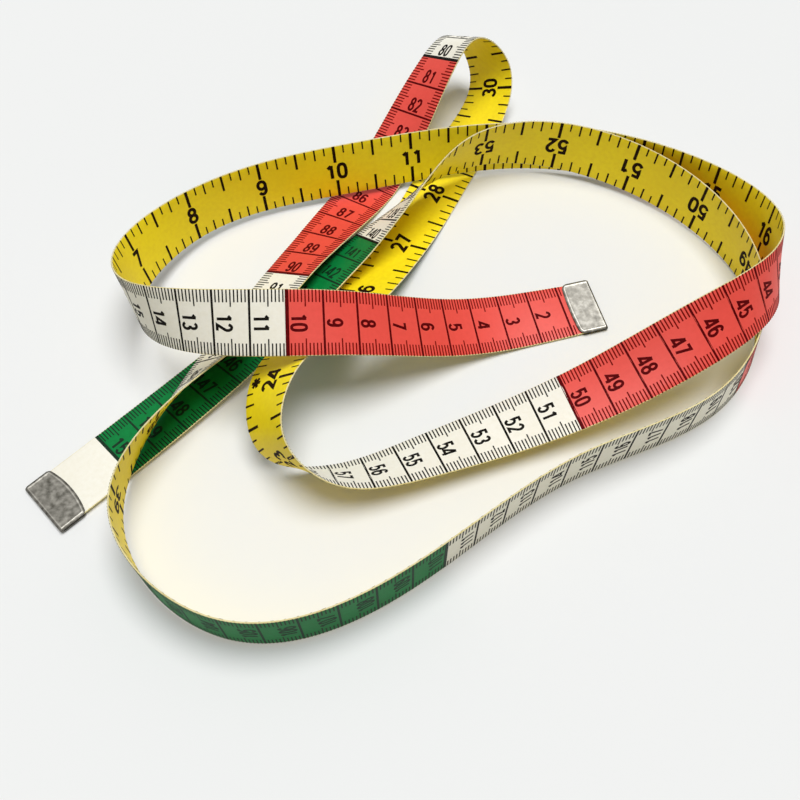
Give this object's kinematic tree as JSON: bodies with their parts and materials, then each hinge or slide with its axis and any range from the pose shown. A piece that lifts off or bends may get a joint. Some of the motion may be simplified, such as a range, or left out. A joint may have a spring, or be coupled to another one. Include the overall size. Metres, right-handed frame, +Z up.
{
  "type": "cloth tape measure",
  "caption": "Flat coated-cloth measuring tape lying in loose loops, a folded metal tip on each end, centimetres printed on coloured blocks and inches on the yellow back.",
  "frame": {"origin": "bottom centre of the box around the whole tape, on the table", "axes": "+X to the right in the picture along the longest side of the loops, +Y away from the viewer, +Z up from the table"},
  "size_m": [0.2184, 0.2094, 0.0396],
  "materials": {
    "cloth_red": "satin coated cloth",
    "cloth_white": "satin coated cloth",
    "cloth_green": "satin coated cloth",
    "nickel": "worn nickel plate on sheet steel"
  },
  "bodies": {
    "strip": {"strip_0060_0100_red": "cloth_red", "strip_0100_0200_white": "cloth_white", "strip_0200_0300_green": "cloth_green", "strip_0300_0400_white": "cloth_white", "strip_0400_0500_red": "cloth_red", "strip_0500_0600_white": "cloth_white", "strip_0600_0700_green": "cloth_green", "strip_0700_0800_white": "cloth_white", "strip_0800_0900_red": "cloth_red", "strip_0900_1000_white": "cloth_white", "strip_1000_1100_green": "cloth_green", "strip_1100_1200_white": "cloth_white", "strip_1200_1300_red": "cloth_red", "strip_1300_1400_white": "cloth_white", "strip_1400_1500_green": "cloth_green", "strip_1500_1508_white": "cloth_white"},
    "zero_end": {"strip_0000_0060_red": "cloth_red", "zero_tip": "nickel"},
    "far_end": {"strip_1508_1524_white": "cloth_white", "far_tip": "nickel"}
  },
  "joints": [
    {"name": "zero_end_lift", "type": "hinge", "parent": "strip", "child": "zero_end", "pos_m": [0.00239, -0.01824, 0.01468], "axis": [0.1001, -0.9313, -0.3504], "range_deg": [0, 80]},
    {"name": "far_end_lift", "type": "hinge", "parent": "strip", "child": "far_end", "pos_m": [-0.09112, -0.0535, 0.00121], "axis": [-0.6714, 0.7408, -0.023], "range_deg": [0, 70]}
  ]
}
